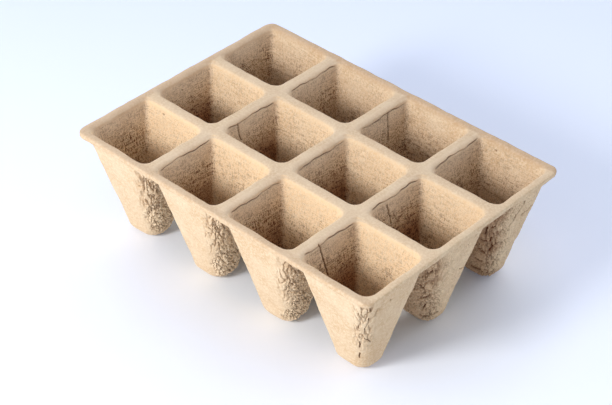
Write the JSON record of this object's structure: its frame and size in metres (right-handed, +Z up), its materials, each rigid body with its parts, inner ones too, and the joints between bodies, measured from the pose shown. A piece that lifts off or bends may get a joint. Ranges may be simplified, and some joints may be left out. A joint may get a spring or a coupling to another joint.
{
  "type": "pulp seedling tray",
  "caption": "Rectangular moulded-pulp seed tray: tapered square cups with rounded corners hang from a flat lattice with a narrow rim.",
  "frame": {"origin": "under the middle of the tray, on the surface that the cup floors stand on", "axes": "+X along the long side with four cells, +Y along the short side with three cells, +Z up, out of the cells"},
  "size_m": [0.1818, 0.1308, 0.0572],
  "materials": {
    "sheet_pulp": "matte, felted paper fibre",
    "cup_pulp": "matte, felted paper fibre, crumbled at the outer corners"
  },
  "bodies": {
    "root": {"rim": "sheet_pulp", "web": "sheet_pulp", "cup_row1_col1": "cup_pulp", "cup_row1_col2": "cup_pulp", "cup_row1_col3": "cup_pulp", "cup_row1_col4": "cup_pulp", "cup_row2_col1": "cup_pulp", "cup_row2_col2": "cup_pulp", "cup_row2_col3": "cup_pulp", "cup_row2_col4": "cup_pulp", "cup_row3_col1": "cup_pulp", "cup_row3_col2": "cup_pulp", "cup_row3_col3": "cup_pulp", "cup_row3_col4": "cup_pulp"}
  },
  "joints": []
}
